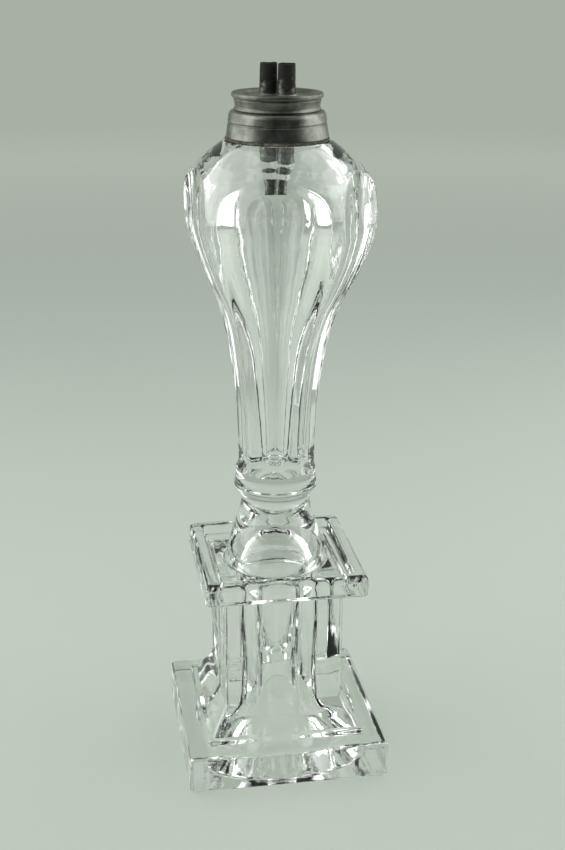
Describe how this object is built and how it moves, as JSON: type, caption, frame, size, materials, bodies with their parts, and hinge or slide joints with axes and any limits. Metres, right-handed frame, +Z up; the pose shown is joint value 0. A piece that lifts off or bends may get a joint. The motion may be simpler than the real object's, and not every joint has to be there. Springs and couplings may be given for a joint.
{
  "type": "camphene lamp",
  "caption": "Pressed glass burning-fluid lamp: pear-shaped font with arched loops on a square columned pedestal, screw-in pewter burner with twin wick tubes.",
  "frame": {"origin": "centre of the square foot's underside, on the surface that the lamp stands on", "axes": "+Z up the lamp's axis, -Y out of the front face of the foot and column, +X to the right as the front is seen"},
  "size_m": [0.082, 0.082, 0.2835],
  "materials": {
    "clear_glass": "clear pressed lead glass with a slight grey-green tint",
    "pewter": "dull dark grey cast pewter",
    "tube_metal": "sooty dark grey drawn tube",
    "solder": "dull solder",
    "plaster": "rough stained plaster",
    "leather": "oiled leather",
    "cotton": "braided cotton with a charred end"
  },
  "bodies": {
    "lamp": {"pedestal": "clear_glass", "wafer": "clear_glass", "font": "clear_glass", "cement_ring": "plaster", "collar": "pewter"},
    "seal": {"seal_washer": "leather"},
    "burner": {"burner_cap": "pewter", "wick_tube_left": "tube_metal", "wick_tube_right": "tube_metal", "tube_solder": "solder"},
    "left_wick": {"wick_left": "cotton"},
    "right_wick": {"wick_right": "cotton"}
  },
  "joints": [
    {"name": "burner_rise", "type": "slide", "parent": "lamp", "child": "seal", "axis": [0, 0, 1], "range_m": [0, 0.0076]},
    {"name": "burner_turn", "type": "hinge", "parent": "seal", "child": "burner", "pos_m": [0, 0, 0.2666], "axis": [0, 0, 1], "range_deg": [0, 1800]},
    {"name": "left_wick_raise", "type": "slide", "parent": "burner", "child": "left_wick", "axis": [0, 0, 1], "range_m": [-0.003, 0.01]},
    {"name": "right_wick_raise", "type": "slide", "parent": "burner", "child": "right_wick", "axis": [0, 0, 1], "range_m": [-0.003, 0.01]}
  ],
  "couplings": [
    {"joint": "burner_rise", "follows": "burner_turn", "m_per_rad": 0.00023873}
  ]
}
